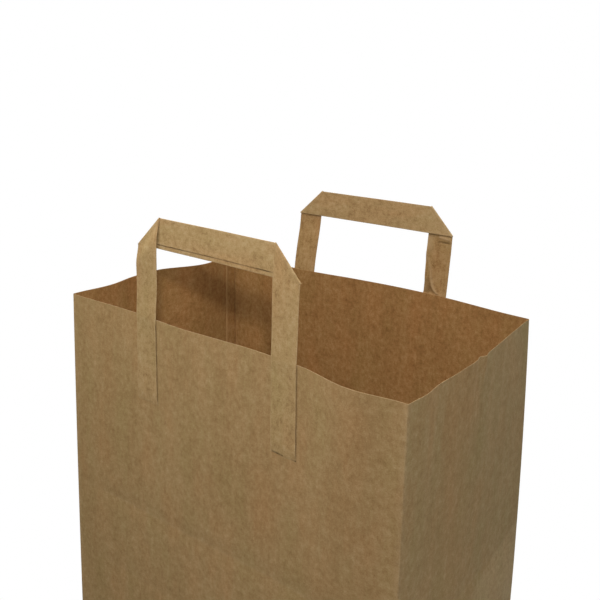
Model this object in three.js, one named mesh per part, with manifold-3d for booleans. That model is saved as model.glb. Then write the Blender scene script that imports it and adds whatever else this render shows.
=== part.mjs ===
// Brown paper carrier bag with a block bottom, side gussets and two flat tape handles.
// Millimetres, +Z up. The origin is the middle of the underside, the wide front panel faces -Y.
import * as THREE from 'three';
import { mergeVertices } from 'three/addons/utils/BufferGeometryUtils.js';
import Module from 'manifold-3d';

// The folded sheet: panel width, gusset depth, height from the floor to the cut rim, one ply of paper.
const BAG_WIDTH = 260;
const BAG_DEPTH = 170;
const BAG_HEIGHT = 310;
const PAPER = 0.15;

// Glued laps: the long seam that closes the tube, and the bottom flaps where they pass each other.
const SEAM_LAP = 15;
const BOTTOM_LAP = 30;

// Lying flat, the bag's folded-up bottom presses a line across each wall, at about the bag's depth
// above the floor: how far above or below that each line is, how deep it is and how far it spreads.
const FRONT_PRESS_ABOVE = 6;
const GUSSET_PRESS_BELOW = 10;
const PRESS_DEPTH = 0.6;
const PRESS_REACH = 17;
// Share of a wall over which its line fades out towards a corner fold.
const PRESS_FADE = 0.14;

// How far a gusset's centre fold stands in, at the level where the bottom folds start and at the rim.
// The left one has popped outwards at the rim.
const GUSSET_FOLD_IN = 3;
const RIGHT_FOLD_IN_AT_RIM = 1.5;
const LEFT_FOLD_IN_AT_RIM = -6;

// The mouth does not stand square: each corner fold is off its place at the rim by [x, y].
const MOUTH_SHIFT = {
  frontLeft: [-0.6, 3.7],
  frontRight: [-1.6, -4.3],
  rearRight: [-8.5, -5.4],
  rearLeft: [-5.4, 0.8],
};
// The paper straightens towards the floor by this power of the height.
const MOUTH_EASE = 2;

// Soft bulges of the walls at the rim: their place and reach are shares of the wall, out is in mm.
const FRONT_WAVES = [
  { place: 0.22, reach: 0.22, out: -2.4 },
  { place: 0.62, reach: 0.3, out: -3.9 },
  { place: 0.87, reach: 0.13, out: 4.2 },
];
const RIGHT_WAVES = [
  { place: 0.1, reach: 0.1, out: 1.6 },
  { place: 0.5, reach: 0.5, out: 4.2 },
];
const REAR_WAVES = [
  { place: 0.325, reach: 0.325, out: 5.9 },
  { place: 0.73, reach: 0.2, out: -5 },
];
const LEFT_WAVES = [
  { place: 0.25, reach: 0.25, out: -10.2 },
  { place: 0.38, reach: 0.2, out: -2.8 },
  { place: 0.82, reach: 0.18, out: -3.5 },
];

// Flat tape handles: a multi-ply paper tape, folded over at 45 degrees at both upper corners.
const TAPE_WIDTH = 18.5;
const TAPE_THICKNESS = 0.6;
const TAPE_LAP_SETBACK = 2.7;
const HANDLE_SPAN = 127;
const HANDLE_RISE = 61.5;
const HANDLE_GLUED = 55;
const GLUE_GAP = 0.2;
const FOLD_GAP = 0.1;

// How each handle stands: offset from its panel's middle, then in degrees the loop's turn about the
// upright, its lean to the rear and the drift of the legs to the side.
const FRONT_HANDLE = { offset: -2.9, turn: -2.1, lean: 3.4, drift: -1.4 };
const REAR_HANDLE = { offset: 2, turn: 1.4, lean: 3.8, drift: 0.9 };

// Number of strips that the curved sheets are cut into.
const PANEL_STRIPS = 26;
const GUSSET_STRIPS = 8;
const BOTTOM_FOLD_ROWS = 4;
const UPPER_ROWS = 4;
const HANDLE_ROWS = 4;
const FOLD_STEPS = 4;
const CROSSPIECE_STRIPS = 3;
// Points closer than this are one point when solids are joined.
const SAME_POINT = 1e-4;

const BROWN_PAPER = new THREE.MeshStandardMaterial({ color: 0x9a7c54, roughness: 0.9, metalness: 0 });
const TAPE_PAPER = new THREE.MeshStandardMaterial({ color: 0xa0855c, roughness: 0.85, metalness: 0 });

const wasm = await Module();
wasm.setup();

const half = BAG_DEPTH / 2;
const frontPress = BAG_DEPTH + FRONT_PRESS_ABOVE;
const gussetPress = BAG_DEPTH - GUSSET_PRESS_BELOW;

// The four walls in order round the bag, seen from above against the clock.
const FRONT = {
  from: 'frontLeft',
  to: 'frontRight',
  outward: [0, -1],
  strips: PANEL_STRIPS,
  waves: FRONT_WAVES,
  press: frontPress,
};
const RIGHT_GUSSET = {
  from: 'frontRight',
  to: 'rearRight',
  outward: [1, 0],
  strips: GUSSET_STRIPS,
  waves: RIGHT_WAVES,
  press: gussetPress,
  foldInAtRim: RIGHT_FOLD_IN_AT_RIM,
};
const REAR = {
  from: 'rearRight',
  to: 'rearLeft',
  outward: [0, 1],
  strips: PANEL_STRIPS,
  waves: REAR_WAVES,
  press: gussetPress,
};
const LEFT_GUSSET = {
  from: 'rearLeft',
  to: 'frontLeft',
  outward: [-1, 0],
  strips: GUSSET_STRIPS,
  waves: LEFT_WAVES,
  press: gussetPress,
  foldInAtRim: LEFT_FOLD_IN_AT_RIM,
  seam: true,
};
const WALLS = [FRONT, RIGHT_GUSSET, REAR, LEFT_GUSSET];

const CORNER_SIDE = {
  frontLeft: [-1, -1],
  frontRight: [1, -1],
  rearRight: [1, 1],
  rearLeft: [-1, 1],
};

function mouthShare(z) {
  return (Math.max(z, 0) / BAG_HEIGHT) ** MOUTH_EASE;
}

function cornerAt(name, z) {
  const [sideX, sideY] = CORNER_SIDE[name];
  const [shiftX, shiftY] = MOUTH_SHIFT[name];
  const share = mouthShare(z);
  return [sideX * BAG_WIDTH / 2 + shiftX * share, sideY * half + shiftY * share];
}

function waveAt(wall, s) {
  return wall.waves.reduce((sum, wave) => {
    const t = Math.min(Math.abs(s - wave.place) / wave.reach, 1);
    return sum + wave.out * Math.cos(t * Math.PI / 2) ** 2;
  }, 0);
}

// A gusset folds inward along its middle. Below half its depth the fold splits into two
// diagonals that run to the bottom corners, as the block bottom needs.
function gussetFold(wall, s, z) {
  const fromCentre = Math.abs(2 * s - 1);
  if (z < half) {
    return GUSSET_FOLD_IN * Math.min(z / half, 1 - fromCentre);
  }
  const up = (z - half) / (BAG_HEIGHT - half);
  return (GUSSET_FOLD_IN + (wall.foldInAtRim - GUSSET_FOLD_IN) * up) * (1 - fromCentre);
}

// The line pressed across a wall by the edge of the folded-up bottom, fading out at the corner folds.
function pressedLine(wall, s, z) {
  const near = Math.max(0, 1 - Math.abs(z - wall.press) / PRESS_REACH);
  const inside = Math.min(1, s / PRESS_FADE, (1 - s) / PRESS_FADE);
  return PRESS_DEPTH * near * inside;
}

// Outside of a wall at share s along it and height z.
function wallPoint(wall, s, z) {
  const a = cornerAt(wall.from, z);
  const b = cornerAt(wall.to, z);
  const fold = wall.foldInAtRim === undefined ? 0 : gussetFold(wall, s, z);
  const out = waveAt(wall, s) * mouthShare(z) - fold - pressedLine(wall, s, z);
  return [
    a[0] + (b[0] - a[0]) * s + wall.outward[0] * out,
    a[1] + (b[1] - a[1]) * s + wall.outward[1] * out,
    z,
  ];
}

// Share along a wall, and how many plies are glued there. The seam's edge is one step in the inside.
function wallColumns(wall) {
  const columns = [];
  for (let i = 0; i < wall.strips; i += 1) {
    columns.push({ wall, s: i / wall.strips, plies: 1 });
  }
  if (wall.seam) {
    const edge = SEAM_LAP / BAG_DEPTH;
    const step = PAPER / BAG_DEPTH;
    columns.push({ wall, s: edge, plies: 2 }, { wall, s: edge + step, plies: 1 });
    columns.sort((p, q) => p.s - q.s);
    columns.forEach((column) => {
      column.plies = column.s <= edge ? 2 : 1;
    });
  }
  return columns;
}

function wallRows(floor) {
  const rows = [floor];
  for (let i = 1; i <= BOTTOM_FOLD_ROWS; i += 1) {
    rows.push(half * i / BOTTOM_FOLD_ROWS);
  }
  rows.push((half + gussetPress) / 2, gussetPress, frontPress);
  for (let i = 1; i <= UPPER_ROWS; i += 1) {
    rows.push(frontPress + (BAG_HEIGHT - frontPress) * i / UPPER_ROWS);
  }
  return rows;
}

// Inside of a column: one or two plies in from the outside. A corner fold goes in both ways.
function insidePoint(columns, i, z) {
  const { wall, s, plies } = columns[i];
  const before = columns[(i + columns.length - 1) % columns.length].wall;
  const [x, y] = wallPoint(wall, s, z);
  const inward = PAPER * plies;
  const across = before === wall ? [0, 0] : before.outward;
  return [
    x - inward * wall.outward[0] - PAPER * across[0],
    y - inward * wall.outward[1] - PAPER * across[1],
    z,
  ];
}

// One closed sheet body: outside, inside, cut rim and floor.
function bagShell(undersideZ, floorZ) {
  const columns = WALLS.flatMap(wallColumns);
  const n = columns.length;
  const outerRows = wallRows(undersideZ);
  const innerRows = wallRows(floorZ);
  const points = [];
  outerRows.forEach((z) => columns.forEach(({ wall, s }) => points.push(wallPoint(wall, s, z))));
  const inside = points.length;
  innerRows.forEach((z) => columns.forEach((column, i) => points.push(insidePoint(columns, i, z))));
  const underCentre = points.push([0, 0, undersideZ]) - 1;
  const floorCentre = points.push([0, 0, floorZ]) - 1;

  const index = [];
  const last = outerRows.length - 1;
  for (let i = 0; i < n; i += 1) {
    const next = (i + 1) % n;
    const { wall, s } = columns[i];
    const leansForward = wall.foldInAtRim === undefined || s < 0.5;
    for (let j = 0; j < last; j += 1) {
      const [a, b, c, d] = [j * n + i, j * n + next, (j + 1) * n + next, (j + 1) * n + i];
      const triangles = leansForward ? [[a, b, c], [a, c, d]] : [[a, b, d], [b, c, d]];
      triangles.forEach(([p, q, r]) => {
        index.push(p, q, r);
        index.push(inside + p, inside + r, inside + q);
      });
    }
    const top = last * n;
    index.push(top + i, top + next, inside + top + next);
    index.push(top + i, inside + top + next, inside + top + i);
    index.push(next, i, underCentre);
    index.push(inside + i, inside + next, floorCentre);
  }
  return meshGeometry(points, index);
}

function meshGeometry(points, index) {
  const geometry = new THREE.BufferGeometry();
  geometry.setAttribute('position', new THREE.Float32BufferAttribute(points.flat(), 3));
  geometry.setIndex(index);
  return geometry;
}

function toSolid(geometry) {
  const bare = geometry.clone();
  bare.deleteAttribute('normal');
  bare.deleteAttribute('uv');
  const merged = mergeVertices(bare, SAME_POINT);
  const mesh = new wasm.Mesh({
    numProp: 3,
    vertProperties: new Float32Array(merged.attributes.position.array),
    triVerts: new Uint32Array(merged.index.array),
  });
  return new wasm.Manifold(mesh);
}

function toGeometry(solid) {
  const { vertProperties, triVerts } = solid.getMesh();
  const geometry = new THREE.BufferGeometry();
  geometry.setAttribute('position', new THREE.BufferAttribute(vertProperties, 3));
  geometry.setIndex(new THREE.BufferAttribute(triVerts, 1));
  return geometry;
}

function join(geometries) {
  return toGeometry(geometries.map(toSolid).reduce((whole, piece) => whole.add(piece)));
}

function plate(outline, low, high) {
  const shape = new THREE.Shape(outline.map(([x, y]) => new THREE.Vector2(x, y)));
  const geometry = new THREE.ExtrudeGeometry(shape, { depth: high - low, bevelEnabled: false });
  return geometry.translate(0, 0, low);
}

// A bottom flap runs from its panel's bottom edge to reach past the middle, with 45-degree folded sides.
function bottomFlap(side, reach, low, high) {
  const depth = half + reach;
  const edge = BAG_WIDTH / 2;
  const outline = [
    [-edge, side * half],
    [edge, side * half],
    [edge - depth, side * (half - depth)],
    [depth - edge, side * (half - depth)],
  ];
  return plate(side > 0 ? outline.reverse() : outline, low, high);
}

// The bag: gusset triangles lie innermost, the rear flap under them and the front flap outermost.
function buildBody() {
  const lap = BOTTOM_LAP / 2;
  return join([
    bagShell(2 * PAPER, 3 * PAPER),
    bottomFlap(1, lap, PAPER, 2 * PAPER),
    bottomFlap(-1, -lap, PAPER, 2 * PAPER),
    bottomFlap(-1, lap, 0, PAPER),
  ]);
}

// Section of the tape as [across, depth] pairs: across runs from the edge that is outermost on a leg,
// depth from the face with the tape's lapped ply, which stops short of that edge.
function tapeSection() {
  return [
    [0, PAPER],
    [TAPE_LAP_SETBACK, PAPER],
    [TAPE_LAP_SETBACK, 0],
    [TAPE_WIDTH / 2, 0],
    [TAPE_WIDTH, 0],
    [TAPE_WIDTH, TAPE_THICKNESS],
    [TAPE_WIDTH / 2, TAPE_THICKNESS],
    [0, TAPE_THICKNESS],
  ];
}

// The left half of the folded tape as rows of sections, x across, y up from the rim, z out from the panel.
// A leg stands outermost, turns over its 45-degree fold and runs on behind itself as the crosspiece.
function halfHandleRows() {
  const section = tapeSection();
  const side = -HANDLE_SPAN / 2;
  const shoulder = HANDLE_RISE - TAPE_WIDTH;
  const rows = [];
  const leg = (up) => section.map(([across, depth]) => [side + across, up, FOLD_GAP + depth]);
  for (let i = 0; i < HANDLE_ROWS; i += 1) {
    rows.push(leg(-HANDLE_GLUED * (1 - i / HANDLE_ROWS)));
  }
  for (let i = 0; i < HANDLE_ROWS; i += 1) {
    rows.push(leg(shoulder * i / HANDLE_ROWS));
  }
  for (let i = 0; i <= FOLD_STEPS; i += 1) {
    const turn = Math.PI * i / FOLD_STEPS;
    rows.push(section.map(([across, depth]) => {
      const radius = FOLD_GAP + depth;
      const bulge = radius * Math.sin(turn) * Math.SQRT1_2;
      return [side + across - bulge, shoulder + across + bulge, radius * Math.cos(turn)];
    }));
  }
  for (let i = 1; i < CROSSPIECE_STRIPS; i += 1) {
    const inward = 1 - i / CROSSPIECE_STRIPS;
    rows.push(section.map(([across, depth]) => [
      (side + across) * inward, shoulder + across, -FOLD_GAP - depth,
    ]));
  }
  return rows;
}

// The whole handle laid flat: the left half, the middle of the crosspiece and the mirrored right half.
function flatHandle() {
  const left = halfHandleRows();
  const middle = tapeSection().map(([across, depth]) => [
    0, HANDLE_RISE - TAPE_WIDTH + across, -FOLD_GAP - depth,
  ]);
  const right = left.map((row) => row.map(([x, up, out]) => [-x, up, out])).reverse();
  const rows = [...left, middle, ...right];
  const n = middle.length;
  const index = [];
  for (let j = 0; j + 1 < rows.length; j += 1) {
    for (let i = 0; i < n; i += 1) {
      const next = (i + 1) % n;
      const [a, b, c, d] = [j * n + i, j * n + next, (j + 1) * n + next, (j + 1) * n + i];
      index.push(a, c, b, a, d, c);
    }
  }
  // Both cut ends fan out from the corner of the lapped ply, which sees the whole section.
  const end = (rows.length - 1) * n;
  for (let i = 2; i < n; i += 1) {
    const next = (i + 1) % n;
    index.push(1, i, next);
    index.push(end + 1, end + next, end + i);
  }
  return meshGeometry(rows.flat(), index);
}

// Share along a wide panel of the point at x on its rim.
function shareAtRim(wall, x) {
  const a = cornerAt(wall.from, BAG_HEIGHT)[0];
  const b = cornerAt(wall.to, BAG_HEIGHT)[0];
  return (x - a) / (b - a);
}

// Bends the flat handle on to its panel: the legs follow the paper up to the rim, then the loop
// stands free and straightens out to its own turn and lean.
function buildHandle(wall, stance) {
  const geometry = flatHandle();
  const position = geometry.attributes.position;
  const slope = (degrees) => Math.tan(THREE.MathUtils.degToRad(degrees));
  const onPaper = (x, z) => wallPoint(wall, shareAtRim(wall, x), z);
  const panelMiddle = (cornerAt(wall.from, BAG_HEIGHT)[0] + cornerAt(wall.to, BAG_HEIGHT)[0]) / 2;
  const centre = panelMiddle + stance.offset;
  const legReach = (HANDLE_SPAN - TAPE_WIDTH) / 2;
  const legsY = [-legReach, legReach].map((x) => onPaper(centre + x, BAG_HEIGHT)[1]);
  const loopY = (legsY[0] + legsY[1]) / 2;
  const shoulder = HANDLE_RISE - TAPE_WIDTH;
  for (let i = 0; i < position.count; i += 1) {
    const [x, up, out] = [position.getX(i), position.getY(i), position.getZ(i)];
    const glued = Math.min(up, 0);
    const free = Math.max(up, 0);
    const [paperX, paperY] = onPaper(centre + x + slope(stance.drift) * glued, BAG_HEIGHT + glued);
    const straight = THREE.MathUtils.smoothstep(free, 0, shoulder);
    const y = paperY + (loopY + slope(stance.turn) * x - paperY) * straight;
    position.setXYZ(
      i,
      paperX + slope(stance.drift) * free,
      y + slope(stance.lean) * free + wall.outward[1] * (GLUE_GAP + out),
      BAG_HEIGHT + up,
    );
  }
  if (wall.outward[1] > 0) {
    geometry.setIndex(Array.from(geometry.index.array).reverse());
  }
  return geometry;
}

function part(name, geometry, material) {
  const mesh = new THREE.Mesh(geometry, material);
  mesh.name = name;
  return mesh;
}

const bag = new THREE.Group();
bag.name = 'paper_carrier_bag';
bag.add(part('bag_body', buildBody(), BROWN_PAPER));
bag.add(part('front_handle', buildHandle(FRONT, FRONT_HANDLE), TAPE_PAPER));
bag.add(part('rear_handle', buildHandle(REAR, REAR_HANDLE), TAPE_PAPER));

export default bag;
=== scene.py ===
"""Looks of a brown paper carrier bag: the folded bag, its two flat tape handles and a plain stage."""
import math
from typing import NamedTuple

import bpy
import numpy as np
from mathutils import Matrix, Vector, noise


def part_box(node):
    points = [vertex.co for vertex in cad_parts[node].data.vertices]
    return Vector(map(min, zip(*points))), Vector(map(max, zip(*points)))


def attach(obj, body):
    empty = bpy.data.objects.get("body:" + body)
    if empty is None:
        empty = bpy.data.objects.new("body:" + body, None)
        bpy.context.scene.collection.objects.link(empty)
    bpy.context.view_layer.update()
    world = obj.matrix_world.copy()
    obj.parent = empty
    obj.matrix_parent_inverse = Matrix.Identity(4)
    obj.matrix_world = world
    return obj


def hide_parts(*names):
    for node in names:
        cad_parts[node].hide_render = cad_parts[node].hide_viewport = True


bl_info = {
    "name": "Paper Carrier Bag",
    "version": (1, 0, 0),
    "blender": (4, 5, 0),
    "location": "View3D > Sidebar > Paper Bag",
    "description": "Folds a brown paper carrier bag with flat tape handles around its frame",
    "category": "Add Mesh",
}

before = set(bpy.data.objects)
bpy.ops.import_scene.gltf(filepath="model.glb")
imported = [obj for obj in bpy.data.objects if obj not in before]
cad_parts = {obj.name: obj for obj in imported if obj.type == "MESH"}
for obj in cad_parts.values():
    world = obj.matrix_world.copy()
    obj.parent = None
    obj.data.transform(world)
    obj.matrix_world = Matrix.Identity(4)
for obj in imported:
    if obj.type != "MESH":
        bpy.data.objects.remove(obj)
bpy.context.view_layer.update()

MM = 0.001
BODY_NODE = "bag_body"


def footprint(node, depth_of_flaps=1 * MM):
    """Width and depth of the rectangle that a node stands on, in metres."""
    points = np.array([vertex.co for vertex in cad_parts[node].data.vertices])
    low = points[points[:, 2] < depth_of_flaps]
    return low.max(axis=0) - low.min(axis=0)


BASE_SPAN = footprint(BODY_NODE)
RIM_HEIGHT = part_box(BODY_NODE)[1].z
HANDLE_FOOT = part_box("front_handle")[0].z


# Sizes and colours that a user would change

class BagSizes(bpy.types.PropertyGroup):
    """Sizes of the folded bag."""

    width: bpy.props.FloatProperty(
        name="Width", description="Wide panel from fold to fold", default=float(BASE_SPAN[0]), unit="LENGTH")
    depth: bpy.props.FloatProperty(
        name="Depth", description="Gusset from fold to fold", default=float(BASE_SPAN[1]), unit="LENGTH")
    height: bpy.props.FloatProperty(
        name="Height", description="From the floor to the cut rim", default=float(RIM_HEIGHT), unit="LENGTH")
    paper: bpy.props.FloatProperty(
        name="Paper", description="Thickness of one ply", default=0.15 * MM, unit="LENGTH")
    fold_radius: bpy.props.FloatProperty(
        name="Fold radius", description="Roundness of the corner folds", default=1.1 * MM, unit="LENGTH")
    gusset_fold_in: bpy.props.FloatProperty(
        name="Gusset fold", description="How far a gusset's centre fold stands in, low down",
        default=3 * MM, unit="LENGTH")
    seam_lap: bpy.props.FloatProperty(
        name="Seam lap", description="Glued overlap that closes the tube", default=15 * MM, unit="LENGTH")
    bottom_lap: bpy.props.FloatProperty(
        name="Bottom lap", description="Overlap of the two bottom flaps", default=30 * MM, unit="LENGTH")
    press_depth: bpy.props.FloatProperty(
        name="Pressed lines", description="Depth of the lines that the folded-up bottom pressed in",
        default=0.6 * MM, unit="LENGTH")
    cockle: bpy.props.FloatProperty(
        name="Cockle", description="Slight unevenness of the panels", default=0.35 * MM, unit="LENGTH")


class HandleSizes(bpy.types.PropertyGroup):
    """Sizes of the folded tape handles."""

    tape_width: bpy.props.FloatProperty(
        name="Tape width", description="Width of the folded tape", default=18.5 * MM, unit="LENGTH")
    tape_thickness: bpy.props.FloatProperty(
        name="Tape thickness", description="All plies together", default=0.55 * MM, unit="LENGTH")
    lap_setback: bpy.props.FloatProperty(
        name="Lap setback", description="Distance of the lapped ply from the tape's edge",
        default=2.7 * MM, unit="LENGTH")
    span: bpy.props.FloatProperty(
        name="Span", description="Width of the handle over both legs", default=127 * MM, unit="LENGTH")
    rise: bpy.props.FloatProperty(
        name="Rise", description="From the rim to the top of the crosspiece",
        default=61.5 * MM, unit="LENGTH")
    glued: bpy.props.FloatProperty(
        name="Glued", description="Length of a leg below the rim",
        default=float(RIM_HEIGHT - HANDLE_FOOT), unit="LENGTH")
    glue_gap: bpy.props.FloatProperty(
        name="Glue gap", description="Glue line between leg and panel", default=0.2 * MM, unit="LENGTH")
    fold_gap: bpy.props.FloatProperty(
        name="Fold gap", description="Half the space inside a corner fold", default=0.1 * MM, unit="LENGTH")


class PaperColours(bpy.types.PropertyGroup):
    """Colours of the paper and the stage."""

    bag: bpy.props.FloatVectorProperty(
        name="Bag", description="Outside of the bag", subtype="COLOR", default=(0.365, 0.235, 0.102))
    # The inside is darker and more saturated than the bag: partly the rougher side of the paper and partly
    # painted shade inside the bag.
    inside: bpy.props.FloatVectorProperty(
        name="Inside", description="Rougher side of the same paper", subtype="COLOR",
        default=(0.325, 0.165, 0.053))
    tape: bpy.props.FloatVectorProperty(
        name="Tape", description="Handle tape", subtype="COLOR", default=(0.415, 0.271, 0.117))
    dark_fibre: bpy.props.FloatVectorProperty(
        name="Dark fibre", description="Dark end of the grain", subtype="COLOR",
        default=(0.215, 0.119, 0.041))
    pale_fibre: bpy.props.FloatVectorProperty(
        name="Pale fibre", description="Pale end of the grain", subtype="COLOR", default=(0.52, 0.378, 0.202))
    # The cut-edge colour is also the colour of the painted highlights on the squeezed leg and of the painted
    # light patch on the gussets.
    cut_edge: bpy.props.FloatVectorProperty(
        name="Cut edge", description="Open fibres on cut edges and worn folds", subtype="COLOR",
        default=(0.56, 0.42, 0.24))
    floor: bpy.props.FloatVectorProperty(
        name="Floor", description="Plain pale floor", subtype="COLOR", default=(0.45, 0.45, 0.45))


# The walls of the bag

class Wave(NamedTuple):
    """A soft bulge of a wall at the rim: place and reach are shares of the wall."""

    place: float
    reach: float
    out: float


class Wall(NamedTuple):
    """One wall between two corner folds, in order round the bag."""

    start: str
    end: str
    outward: tuple
    waves: tuple
    fold_at_rim: float = None

    @property
    def is_gusset(self):
        return self.fold_at_rim is not None


# Each corner fold's side of the base and how far it stands off its place at the rim.
CORNERS = {
    "front_left": ((-1, -1), (-0.6 * MM, 3.7 * MM)),
    "front_right": ((1, -1), (-1.6 * MM, -4.3 * MM)),
    "rear_right": ((1, 1), (-8.5 * MM, -5.4 * MM)),
    "rear_left": ((-1, 1), (-5.4 * MM, 0.8 * MM)),
}
FRONT = Wall("front_left", "front_right", (0, -1), (
    Wave(0.22, 0.22, -2.4 * MM), Wave(0.62, 0.3, -3.9 * MM), Wave(0.87, 0.13, 4.2 * MM)))
RIGHT_GUSSET = Wall("front_right", "rear_right", (1, 0), (
    Wave(0.1, 0.1, 1.6 * MM), Wave(0.5, 0.5, 4.2 * MM)), 1.5 * MM)
REAR = Wall("rear_right", "rear_left", (0, 1), (
    Wave(0.325, 0.325, 5.9 * MM), Wave(0.73, 0.2, -5 * MM)))
LEFT_GUSSET = Wall("rear_left", "front_left", (-1, 0), (
    Wave(0.25, 0.25, -10.2 * MM), Wave(0.38, 0.2, -2.8 * MM), Wave(0.82, 0.18, -3.5 * MM)), -6 * MM)
WALLS = (FRONT, RIGHT_GUSSET, REAR, LEFT_GUSSET)
MOUTH_EASE = 2.0

# Lines pressed across the walls, measured from one bag depth above the floor: (offset, strength).
FRONT_PRESSES = ((6 * MM, 1.0), (-46 * MM, 0.5))
GUSSET_PRESSES = ((-12 * MM, 0.9),)
PRESS_REACH = 9 * MM
PRESS_LINE = 1.2 * MM
PRESS_FADE = 0.14
PRESS_EASE = 0.6 * MM
# Below its line a gusset bellies out, and its rear half is painted lighter up to a slanting edge: painted
# light where the lower wall tilts up to the lamps.
BELLY_SLOPE = 0.13
BELLY_REACH = 26 * MM
PATCH_LIGHT = 1.4
PATCH_REACH = 90 * MM
PATCH_FULL = 0.4
PATCH_TILT = 0.24
PATCH_EDGE = 3 * MM
PATCH_FADE = 0.14
REAR_HALF = (0.5, 0.75)
# The jog in the right gusset's rim: how far it goes to and fro, how wide it is and how far down it shows.
PINCH_OUT, PINCH_WIDTH, PINCH_DROP = 2.6 * MM, 4 * MM, 30 * MM
# Unevenness of the panels: size across and up, share of a wall that stays quiet at its folds, and the
# finer waves' counts in a broad one and weight.
COCKLE_ACROSS, COCKLE_UP, COCKLE_FADE = 34 * MM, 150 * MM, 0.1
FINE_ACROSS, FINE_UP, FINE_WEIGHT = 3.1, 4.5, 0.35


def smooth_step(t):
    t = np.clip(t, 0, 1)
    return t * t * (3 - 2 * t)


def soft_abs(x, ease):
    return np.sqrt(x * x + ease * ease)


def hump(distance, reach):
    """1 at distance 0, falling off softly over the reach."""
    return np.exp(-(distance / reach) ** 2)


def uneven(x, y, seed):
    """Smooth noise from -1 to 1 at each pair of coordinates."""
    flat = zip(np.ravel(x), np.ravel(y))
    values = [noise.noise(Vector((a, b, seed))) for a, b in flat]
    return np.reshape(values, np.shape(x))


def mouth_share(sizes, z):
    return np.clip(z / sizes.height, 0, None) ** MOUTH_EASE


def corner_at(sizes, name, z):
    (side_x, side_y), (shift_x, shift_y) = CORNERS[name]
    share = mouth_share(sizes, z)
    return side_x * sizes.width / 2 + shift_x * share, side_y * sizes.depth / 2 + shift_y * share


def wave_at(wall, s):
    out = np.zeros_like(s)
    for wave in wall.waves:
        t = np.minimum(np.abs(s - wave.place) / wave.reach, 1)
        out += wave.out * np.cos(t * math.pi / 2) ** 2
    return out


def gusset_fold(sizes, wall, s, z):
    """A gusset's centre fold, which splits into two diagonals below half the depth."""
    half = sizes.depth / 2
    crease = 0.008
    from_centre = soft_abs(2 * s - 1, crease)
    edge_ease = 0.03
    low = 0.5 * (z / half + 1 - from_centre - soft_abs(z / half - 1 + from_centre, edge_ease))
    up = np.clip((z - half) / (sizes.height - half), 0, 1)
    high = (1 + (wall.fold_at_rim / sizes.gusset_fold_in - 1) * up) * (1 - from_centre)
    share = np.where(z < half, np.minimum(low, 1 - from_centre), high)
    return sizes.gusset_fold_in * share


def wall_length(sizes, wall):
    return sizes.depth if wall.is_gusset else sizes.width


def off_folds(s, reach):
    """0 at a wall's corner folds, rising to 1 within this share of the wall."""
    return np.clip(np.minimum(s, 1 - s) / reach, 0, 1)


def pressed_lines(sizes, wall, s, z):
    """Shallow creases across a wall and how close each point is to one, from 0 to 1."""
    fade = off_folds(s, PRESS_FADE)
    depth = np.zeros_like(s * z)
    mark = np.zeros_like(depth)
    for offset, strength in GUSSET_PRESSES if wall.is_gusset else FRONT_PRESSES:
        away = np.abs(z - sizes.depth - offset)
        depth += strength * fade * np.clip(1 - soft_abs(away, PRESS_EASE) / PRESS_REACH, 0, None)
        mark = np.maximum(mark, strength * fade * hump(away, PRESS_LINE))
    return sizes.press_depth * depth, mark


def rim_pinch(sizes, wall, s, z):
    """The little jog in the rim of the right gusset, where its centre fold has been bent to and fro."""
    if wall is not RIGHT_GUSSET:
        return 0.0
    t = (s - 0.5) * sizes.depth / PINCH_WIDTH
    return PINCH_OUT * t * hump(t, 1) * smooth_step(1 - (sizes.height - z) / PINCH_DROP)


def gusset_belly(sizes, wall, s, z):
    """Below its pressed line a gusset stands out a little, so that it looks up to the light."""
    if not wall.is_gusset:
        return 0.0
    below = sizes.depth + GUSSET_PRESSES[0][0] - z
    stood_out = np.clip(0.5 * (below + soft_abs(below, PRESS_EASE)), 0, BELLY_REACH)
    return BELLY_SLOPE * stood_out * off_folds(s, PRESS_FADE) * smooth_step(z / (sizes.depth - BELLY_REACH))


def painted_light_patch(sizes, wall, s, z):
    """Share of painted light on the rear half of a gusset, below the line that the folded-up bottom pressed
    in, where the lower wall tilts up to the lamps.
    """
    if not wall.is_gusset:
        return 0.0
    rearward = s if wall is RIGHT_GUSSET else 1 - s
    start, middle = REAR_HALF
    edge = GUSSET_PRESSES[0][0] + PATCH_TILT * (rearward - middle) * sizes.depth
    below = sizes.depth + edge - z
    downward = smooth_step(below / PATCH_EDGE) * smooth_step(1 + PATCH_FULL - below / PATCH_REACH)
    return PATCH_LIGHT * downward * smooth_step((rearward - start) / PATCH_FADE)


def cockle(sizes, wall, s, z):
    """Slight unevenness that runs mostly up and down, quiet at the folds."""
    u = s * wall_length(sizes, wall) / COCKLE_ACROSS
    v = z / COCKLE_UP
    seed = 3.7 * (1 + WALLS.index(wall))
    broad = uneven(u, v, seed)
    fine = uneven(FINE_ACROSS * u, FINE_UP * v, seed + 11.3)
    return sizes.cockle * off_folds(s, COCKLE_FADE) * (broad + FINE_WEIGHT * fine)


def wall_point(sizes, wall, s, z):
    """Outside of a wall at share s along it and height z, as an array of points."""
    s, z = np.broadcast_arrays(np.asarray(s, float), np.asarray(z, float))
    start_x, start_y = corner_at(sizes, wall.start, z)
    end_x, end_y = corner_at(sizes, wall.end, z)
    out = wave_at(wall, s) * mouth_share(sizes, z) - pressed_lines(sizes, wall, s, z)[0]
    out = out + cockle(sizes, wall, s, z) + rim_pinch(sizes, wall, s, z) + gusset_belly(sizes, wall, s, z)
    if wall.is_gusset:
        out = out - gusset_fold(sizes, wall, s, z)
    x = start_x + (end_x - start_x) * s + wall.outward[0] * out
    y = start_y + (end_y - start_y) * s + wall.outward[1] * out
    return np.stack([x, y, z], axis=-1)


# Sheets and their meshes

MARKS = ("cut", "worn", "inner", "lap")


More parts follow.
